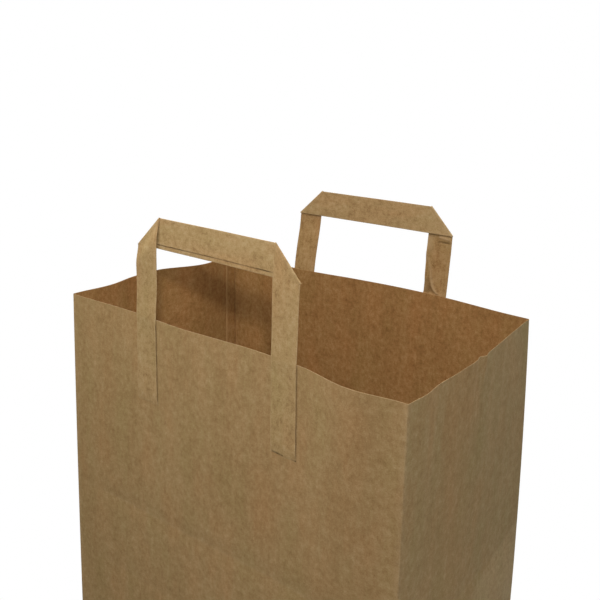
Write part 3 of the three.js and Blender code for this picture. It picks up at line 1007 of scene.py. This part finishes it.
class Graph:
    """Adds nodes to one node tree and links them."""

    def __init__(self, tree):
        self.tree = tree

    def node(self, kind, inputs=None, **settings):
        node = self.tree.nodes.new(kind)
        for name, value in settings.items():
            setattr(node, name, value)
        for name, value in (inputs or {}).items():
            self.feed(node.inputs[name], value)
        return node

    def feed(self, socket, value):
        if isinstance(value, bpy.types.NodeSocket):
            self.tree.links.new(value, socket)
        else:
            socket.default_value = value

    def math(self, operation, a, b=0.0, clamp=False):
        return self.node("ShaderNodeMath", {0: a, 1: b}, operation=operation, use_clamp=clamp).outputs[0]

    def noise(self, vector, scale, detail=2.0, roughness=0.5):
        inputs = {"Vector": vector, "Scale": scale, "Detail": detail, "Roughness": roughness}
        return self.node("ShaderNodeTexNoise", inputs).outputs["Fac"]

    def in_millimetres(self, vector):
        inputs = {0: vector, "Scale": 1 / MM}
        return self.node("ShaderNodeVectorMath", inputs, operation="SCALE").outputs[0]

    def stretch(self, vector, x, y):
        return self.node("ShaderNodeMapping", {"Vector": vector, "Scale": (x, y, 1.0)}).outputs[0]

    def span(self, value, low, high, to_low=0.0, to_high=1.0):
        inputs = {"Value": value, "From Min": low, "From Max": high, "To Min": to_low, "To Max": to_high}
        return self.node("ShaderNodeMapRange", inputs).outputs["Result"]

    def ramp(self, value, stops):
        node = self.node("ShaderNodeValToRGB", {0: value})
        elements = node.color_ramp.elements
        while len(elements) < len(stops):
            elements.new(0.5)
        for element, (place, colour) in zip(elements, stops):
            element.position = place
            element.color = (*colour, 1.0)
        return node.outputs[0]

    def mix(self, factor, a, b, blend="MIX"):
        node = self.node("ShaderNodeMix", data_type="RGBA", blend_type=blend)
        colours = [socket for socket in node.inputs if socket.type == "RGBA"]
        self.feed(node.inputs[0], factor)
        self.feed(colours[0], a)
        self.feed(colours[1], b)
        return [socket for socket in node.outputs if socket.type == "RGBA"][0]


def empty_graph(owner):
    """The graph of a new material or world, with no nodes in it."""
    owner.use_nodes = True
    owner.node_tree.nodes.clear()
    return Graph(owner.node_tree)


COLOUR, VALUE, VECTOR = "NodeSocketColor", "NodeSocketFloat", "NodeSocketVector"


def new_group(name, inputs, outputs):
    """An empty shader node group with named sockets, as a graph with its input and output nodes."""
    tree = bpy.data.node_groups.new(name, "ShaderNodeTree")
    for in_out, sockets in (("INPUT", inputs), ("OUTPUT", outputs)):
        for socket, kind in sockets.items():
            tree.interface.new_socket(name=socket, in_out=in_out, socket_type=kind)
    graph = Graph(tree)
    return graph, graph.node("NodeGroupInput").outputs, graph.node("NodeGroupOutput").inputs


# Tints of the paper along the sheet, which repeats with every wide panel and gusset: (share, tint). They are
# partly banding of the paper and partly painted light: the step at the front fold makes the gussets cooler
# than the wide panels, as painted cooler light on the sides.
SHEET_REPEAT = float(BASE_SPAN[0] + BASE_SPAN[1])
FRONT_SHARE = float(BASE_SPAN[0]) / SHEET_REPEAT
SHEET_AND_LIGHT_TINTS = (
    (0.0, (1.0, 0.99, 0.94)), (0.25, (1.02, 1.01, 0.98)), (FRONT_SHARE - 0.002, (0.98, 0.945, 0.91)),
    (FRONT_SHARE + 0.002, (0.955, 0.995, 1.01)), (0.68, (0.955, 1.0, 1.02)), (0.75, (0.99, 0.985, 0.98)),
    (0.82, (0.965, 1.03, 1.07)), (1.0, (0.99, 1.07, 1.14)))


class FibreLayer(NamedTuple):
    """One layer of unevenness in the paper: its stretch across and along, its spots in a millimetre,
    their detail and roughness, and its weight in the tone."""

    stretch: tuple
    spots: float
    detail: float
    roughness: float
    weight: float = None


CLOUDS = FibreLayer((1.0, 1.0), 0.03, 3.0, 0.6, 0.3)
BANDS = FibreLayer((1.0, 0.16), 0.07, 2.0, 0.5, 0.5)
FLOCS = FibreLayer((1.0, 0.85), 0.16, 3.0, 0.55, 1.0)
GRAIN = FibreLayer((1.0, 0.8), 0.4, 3.0, 0.65, 1.6)
FINE_GRAIN = FibreLayer((1.0, 1.0), 1.4, 2.0, 0.6, 1.2)
STREAKS = FibreLayer((1.0, 0.08), 0.7, 3.0, 0.6)
HAIRS = FibreLayer((0.35, 1.0), 1.1, 2.0, 0.4)
WARMTH = FibreLayer((1.0, 0.3), 0.05, 3.0, 0.65)
WARMER = (1.09, 0.97, 0.93, 1.0)
COOLER = (0.93, 1.02, 0.95, 1.0)
SPECKS = 0.33
RELIEF_WEIGHTS = (0.7, 0.4, 0.2)


def fibre_group():
    """Mottled brown paper: clouds, grain, long fibres and specks as a colour, a height and a roughness."""
    graph, given, result = new_group(
        "Paper Fibres",
        {"Paper": VECTOR, "Base": COLOUR, "Dark": COLOUR, "Pale": COLOUR, "Mottle": VALUE, "Streaks": VALUE,
         "Banding_and_light_tint": VALUE},
        {"Color": COLOUR, "Height": VALUE, "Roughness": VALUE})
    paper = graph.in_millimetres(given["Paper"])

    def spread(layer):
        placed = graph.stretch(paper, *layer.stretch)
        return graph.noise(placed, layer.spots, layer.detail, layer.roughness)

    grain, fine, streaks = spread(GRAIN), spread(FINE_GRAIN), spread(STREAKS)
    tone = 0.0
    for layer, weight in ((spread(CLOUDS), CLOUDS.weight), (spread(BANDS), BANDS.weight),
                          (spread(FLOCS), FLOCS.weight), (grain, GRAIN.weight), (fine, FINE_GRAIN.weight),
                          (streaks, given["Streaks"])):
        share = graph.math("MULTIPLY", graph.math("SUBTRACT", layer, 0.5), weight)
        tone = graph.math("ADD", share, tone)
    tone = graph.math("MULTIPLY", tone, given["Mottle"])
    colour = graph.mix(graph.math("MULTIPLY", tone, -1.0, clamp=True), given["Base"], given["Dark"])
    colour = graph.mix(graph.math("MULTIPLY", tone, 1.0, clamp=True), colour, given["Pale"])
    warmth = spread(WARMTH)
    colour = graph.mix(graph.span(warmth, 0.5, 0.72, 0.0, 0.6), colour, WARMER, "MULTIPLY")
    colour = graph.mix(graph.span(warmth, 0.5, 0.28, 0.0, 0.6), colour, COOLER, "MULTIPLY")
    # Tint along the sheet, weighted by the banding input: banding of the paper, and painted light that makes
    # the gussets cooler than the wide panels.
    across = graph.node("ShaderNodeSeparateXYZ", {0: given["Paper"]}).outputs["X"]
    share = graph.math("FRACT", graph.math("DIVIDE", across, SHEET_REPEAT))
    colour = graph.mix(given["Banding_and_light_tint"], colour, graph.ramp(share, SHEET_AND_LIGHT_TINTS), "MULTIPLY")
    colour = graph.mix(graph.span(spread(HAIRS), 0.66, 0.74, 0.0, 0.2), colour, given["Pale"])
    specks = graph.node("ShaderNodeTexVoronoi", {"Vector": paper, "Scale": SPECKS, "Randomness": 1.0}).outputs
    speck = graph.math("MULTIPLY", graph.span(specks["Distance"], 0.10, 0.05),
                       graph.span(specks["Color"], 0.62, 0.66, 0.0, 0.45))
    height = 0.0
    for layer, weight in zip((grain, fine, streaks), RELIEF_WEIGHTS):
        height = graph.math("ADD", graph.math("MULTIPLY", layer, weight), height)
    graph.feed(result["Color"], graph.mix(speck, colour, given["Dark"]))
    graph.feed(result["Height"], height)
    graph.feed(result["Roughness"], graph.span(grain, 0.3, 0.7, 0.74, 0.9))
    return graph.tree


def wear_group():
    """Pale open fibres along cut edges and rubbed folds, with the painted highlights and painted light that
    share their marks, and painted shadow lines where plies end, where edges and feet lift and in creases.
    """
    graph, given, result = new_group(
        "Worn Edges",
        {"Color": COLOUR, "Pale": COLOUR, "Dark": COLOUR, "Paper": VECTOR, "Cut": VALUE, "Worn": VALUE,
         "Lap": VALUE},
        {"Color": COLOUR})
    paper = graph.in_millimetres(given["Paper"])
    patchy = graph.noise(paper, 0.35, 3.0, 0.6)
    worn = graph.math("MULTIPLY", given["Worn"], graph.span(patchy, 0.35, 0.7, 0.05, 0.3))
    pale = graph.math("MAXIMUM", graph.math("MULTIPLY", given["Cut"], 0.55), worn, clamp=True)
    colour = graph.mix(pale, given["Color"], given["Pale"])
    broken = graph.noise(paper, 0.1, 3.0, 0.6)
    lap = graph.math("MULTIPLY", given["Lap"], graph.span(broken, 0.38, 0.6, 0.1, 0.9))
    graph.feed(result["Color"], graph.mix(lap, colour, given["Dark"]))
    return graph.tree


class PaperLook(NamedTuple):
    """Values of one paper material."""

    outside: tuple
    inside: tuple
    mottle: float
    streaks: float
    banding_and_light_tint: float
    relief: float


INNER_MOTTLE = 1.4
GAP_SHADE = 0.4
GRAIN_DEPTH = 0.12 * MM


def paper_material(name, colours, look, groups):
    """Matt uncoated paper, with the rougher side where the mesh says inner; that side's darker, more
    saturated colour is partly painted shade inside the bag.
    """
    fibres, wear = groups
    material = bpy.data.materials.new(name)
    graph = empty_graph(material)
    paper = graph.node("ShaderNodeUVMap", uv_map="paper").outputs[0]
    marks = {mark: graph.node("ShaderNodeAttribute", attribute_name=mark).outputs["Fac"] for mark in MARKS}
    darker = tuple(inner / outer for inner, outer in zip(look.inside, look.outside))
    base, dark, pale, cut_edge = (
        graph.mix(marks["inner"], (*colour, 1.0), (*(a * b for a, b in zip(colour, darker)), 1.0))
        for colour in (look.outside, colours.dark_fibre, colours.pale_fibre, colours.cut_edge))
    inner = marks["inner"]
    fibre = graph.node("ShaderNodeGroup", {
        "Paper": paper, "Base": base, "Dark": dark, "Pale": pale, "Streaks": look.streaks,
        "Mottle": graph.span(inner, 0.0, 1.0, look.mottle, INNER_MOTTLE * look.mottle),
        "Banding_and_light_tint": graph.span(inner, 0.0, 1.0, look.banding_and_light_tint, 0.0)}, node_tree=fibres).outputs
    gap_shade = (*(GAP_SHADE * channel for channel in colours.dark_fibre), 1.0)
    worn = graph.node("ShaderNodeGroup", {
        "Color": fibre["Color"], "Pale": cut_edge, "Dark": gap_shade, "Paper": paper,
        "Cut": marks["cut"], "Worn": marks["worn"], "Lap": marks["lap"]}, node_tree=wear).outputs
    relief = graph.node("ShaderNodeBump", {
        "Height": fibre["Height"], "Strength": look.relief, "Distance": GRAIN_DEPTH}).outputs
    shader = graph.node("ShaderNodeBsdfPrincipled", {
        "Base Color": worn["Color"], "Roughness": fibre["Roughness"], "Normal": relief["Normal"],
        "Specular IOR Level": 0.22, "Diffuse Roughness": 0.7})
    graph.node("ShaderNodeOutputMaterial", {"Surface": shader.outputs[0]})
    return material


def paper_groups():
    """The node groups that every paper material shares, made once."""
    fibres = bpy.data.node_groups.get("Paper Fibres") or fibre_group()
    wear = bpy.data.node_groups.get("Worn Edges") or wear_group()
    return fibres, wear


def add_object(data):
    """A new object in the scene, with its data's name."""
    item = bpy.data.objects.new(data.name, data)
    bpy.context.scene.collection.objects.link(item)
    return item


def place(mesh, material, node, slot):
    """Puts a finished mesh in the scene in the place of its solid."""
    piece = add_object(mesh)
    mesh.materials.append(material)
    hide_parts(node)
    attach(piece, "root")


# The stage

# The camera stands in front of the right corner and looks down into the mouth.
CAMERA_PLACE = (284.9 * MM, -387.8 * MM, 457.5 * MM)
CAMERA_PITCH = 14.565
CAMERA_YAW = -36.247
CAMERA_ROLL = 2.095
CAMERA_LENS = 46.44
CAMERA_SHIFT = (-0.0088, -0.0436)
SHADOW_REACH = 70 * MM
SHADOW_TONE = 0.45


def add_camera():
    """A camera at the photograph's viewing angle."""
    pitch, yaw, roll = (math.radians(angle) for angle in (CAMERA_PITCH, CAMERA_YAW, CAMERA_ROLL))
    forward = Vector((math.cos(pitch) * math.sin(yaw), math.cos(pitch) * math.cos(yaw), -math.sin(pitch)))
    level = Vector((math.cos(yaw), -math.sin(yaw), 0))
    upright = level.cross(forward)
    right = math.cos(roll) * level + math.sin(roll) * upright
    up = -math.sin(roll) * level + math.cos(roll) * upright
    data = bpy.data.cameras.new("camera")
    data.lens = CAMERA_LENS
    data.sensor_width = 36
    data.shift_x, data.shift_y = CAMERA_SHIFT
    data.clip_start = 0.01
    camera = add_object(data)
    turned = Matrix((right, up, -forward)).transposed().to_4x4()
    camera.matrix_world = Matrix.Translation(CAMERA_PLACE) @ turned
    bpy.context.scene.camera = camera


def add_lamp(name, azimuth, elevation, distance, size, power, beam=180, aim=0.0):
    """A square soft lamp that looks at the bag's axis, aim above the rim. Azimuth 0 is in front and 90 to
    the right; beam is the full angle that it lights."""
    around, up = math.radians(azimuth), math.radians(elevation)
    towards = Vector((math.sin(around) * math.cos(up), -math.cos(around) * math.cos(up), math.sin(up)))
    rim = Vector((0, 0, RIM_HEIGHT))
    data = bpy.data.lights.new(name, "AREA")
    data.size = size
    data.energy = power
    data.spread = math.radians(beam)
    lamp = add_object(data)
    lamp.location = rim + distance * towards
    sight = lamp.location - rim - Vector((0, 0, aim))
    lamp.rotation_euler = sight.to_track_quat("Z", "Y").to_euler()


def seen_directly(graph):
    """1 where the camera, a mirror or glass sees the surface itself, and 0 for light that falls from it."""
    path = graph.node("ShaderNodeLightPath").outputs
    seen = graph.math("ADD", path["Is Camera Ray"], path["Is Glossy Ray"])
    return graph.math("ADD", seen, path["Is Transmission Ray"], clamp=True)


def add_world(fill):
    """Even white light, seen as plain white."""
    world = bpy.data.worlds.new("white_room")
    bpy.context.scene.world = world
    graph = empty_graph(world)
    strength = graph.span(seen_directly(graph), 0.0, 1.0, fill, 1.0)
    light = graph.node("ShaderNodeBackground", {"Color": (1, 1, 1, 1), "Strength": strength})
    graph.node("ShaderNodeOutputWorld", {"Surface": light.outputs[0]})


def add_floor(colour):
    """A wide pale floor; seen directly, it is white with a soft shadow where the bag stands."""
    reach = 30.0
    mesh = bpy.data.meshes.new("floor")
    corners = [(-reach, -reach, 0), (reach, -reach, 0), (reach, reach, 0), (-reach, reach, 0)]
    mesh.from_pydata(corners, [], [(0, 1, 2, 3)])
    floor = add_object(mesh)
    floor.location.z = -0.2 * MM
    material = bpy.data.materials.new("pale_floor")
    graph = empty_graph(material)
    matt = graph.node("ShaderNodeBsdfDiffuse", {"Color": (*colour, 1.0)})
    open_sky = graph.node("ShaderNodeAmbientOcclusion", {"Distance": SHADOW_REACH}).outputs["AO"]
    white = graph.node("ShaderNodeEmission", {"Strength": graph.span(open_sky, 0.5, 1.0, SHADOW_TONE, 1.0)})
    shaders = {0: seen_directly(graph), 1: matt.outputs[0], 2: white.outputs[0]}
    surface = graph.node("ShaderNodeMixShader", shaders)
    graph.node("ShaderNodeOutputMaterial", {"Surface": surface.outputs[0]})
    mesh.materials.append(material)


# Operators, panel and start

class PAPERBAG_OT_fold_bag(bpy.types.Operator):
    """Fold the bag body from one sheet of brown paper"""

    bl_idname = "paper_bag.fold_bag"
    bl_label = "Fold Bag"

    def execute(self, context):
        colours = context.scene.bag_colours
        look = PaperLook(outside=tuple(colours.bag), inside=tuple(colours.inside),
                         mottle=1.0, streaks=0.3, banding_and_light_tint=1.0, relief=0.9)
        material = paper_material("brown_bag_paper", colours, look, paper_groups())
        place(fold_bag(context.scene.bag_sizes), material, BODY_NODE, "bag_paper")
        return {"FINISHED"}


class PAPERBAG_OT_fold_handles(bpy.types.Operator):
    """Fold both flat tape handles and set them on their panels"""

    bl_idname = "paper_bag.fold_handles"
    bl_label = "Fold Handles"

    def execute(self, context):
        colours = context.scene.bag_colours
        channels = zip(colours.tape, colours.inside, colours.bag)
        look = PaperLook(outside=tuple(colours.tape),
                         inside=tuple(tape * inner / outer for tape, inner, outer in channels),
                         mottle=1.3, streaks=0.4, banding_and_light_tint=0.0, relief=0.9)
        material = paper_material("brown_tape_paper", colours, look, paper_groups())
        bag, sizes = context.scene.bag_sizes, context.scene.handle_sizes
        for wall, stance, node in ((FRONT, FRONT_STANCE, "front_handle"), (REAR, REAR_STANCE, "rear_handle")):
            mesh = fold_handle(node + "_tape", bag, sizes, wall, stance)
            place(mesh, material, node, "tape_paper")
        return {"FINISHED"}


class PAPERBAG_OT_set_stage(bpy.types.Operator):
    """Set up the pale floor, the soft light and the camera"""

    bl_idname = "paper_bag.set_stage"
    bl_label = "Set Stage"

    def execute(self, context):
        context.scene.view_settings.view_transform = "Standard"
        add_floor(tuple(context.scene.bag_colours.floor))
        add_world(fill=0.01)
        add_lamp("key", azimuth=37.6, elevation=25.1, distance=0.7, size=0.03, power=1.53)
        add_lamp("front_softbox", azimuth=-12, elevation=40, distance=0.45, size=0.25, power=0.54)
        add_lamp("high_softbox", azimuth=20, elevation=62, distance=0.5, size=0.2, power=1.0)
        add_lamp("top_softbox", azimuth=0, elevation=85, distance=0.8, size=0.5, power=3.0)
        add_lamp("side_softbox", azimuth=100, elevation=24, distance=0.8, size=0.3, power=0.5)
        add_lamp("low_softbox", azimuth=75, elevation=-14, distance=0.9, size=0.25, power=0.008,
                 beam=22, aim=-270 * MM)
        add_lamp("rear_softbox", azimuth=-135, elevation=8, distance=1.3, size=0.8, power=10)
        add_camera()
        return {"FINISHED"}


class PAPERBAG_PT_panel(bpy.types.Panel):
    """Sizes, colours and steps of the paper carrier bag"""

    bl_idname = "PAPERBAG_PT_panel"
    bl_label = "Paper Carrier Bag"
    bl_space_type = "VIEW_3D"
    bl_region_type = "UI"
    bl_category = "Paper Bag"

    def draw(self, context):
        for operator in OPERATORS:
            self.layout.operator(operator.bl_idname)
        for name, group in SETTINGS.items():
            box = self.layout.box()
            for setting in group.__annotations__:
                box.prop(getattr(context.scene, name), setting)


SETTINGS = {"bag_sizes": BagSizes, "handle_sizes": HandleSizes, "bag_colours": PaperColours}
OPERATORS = (PAPERBAG_OT_fold_bag, PAPERBAG_OT_fold_handles, PAPERBAG_OT_set_stage)
CLASSES = (*SETTINGS.values(), *OPERATORS, PAPERBAG_PT_panel)


def register():
    for item in CLASSES:
        bpy.utils.register_class(item)
    for name, group in SETTINGS.items():
        setattr(bpy.types.Scene, name, bpy.props.PointerProperty(type=group))


def unregister():
    for name in SETTINGS:
        delattr(bpy.types.Scene, name)
    for item in reversed(CLASSES):
        bpy.utils.unregister_class(item)


def main():
    register()
    bpy.ops.paper_bag.fold_bag()
    bpy.ops.paper_bag.fold_handles()
    bpy.ops.paper_bag.set_stage()


if __name__ == "__main__":
    main()
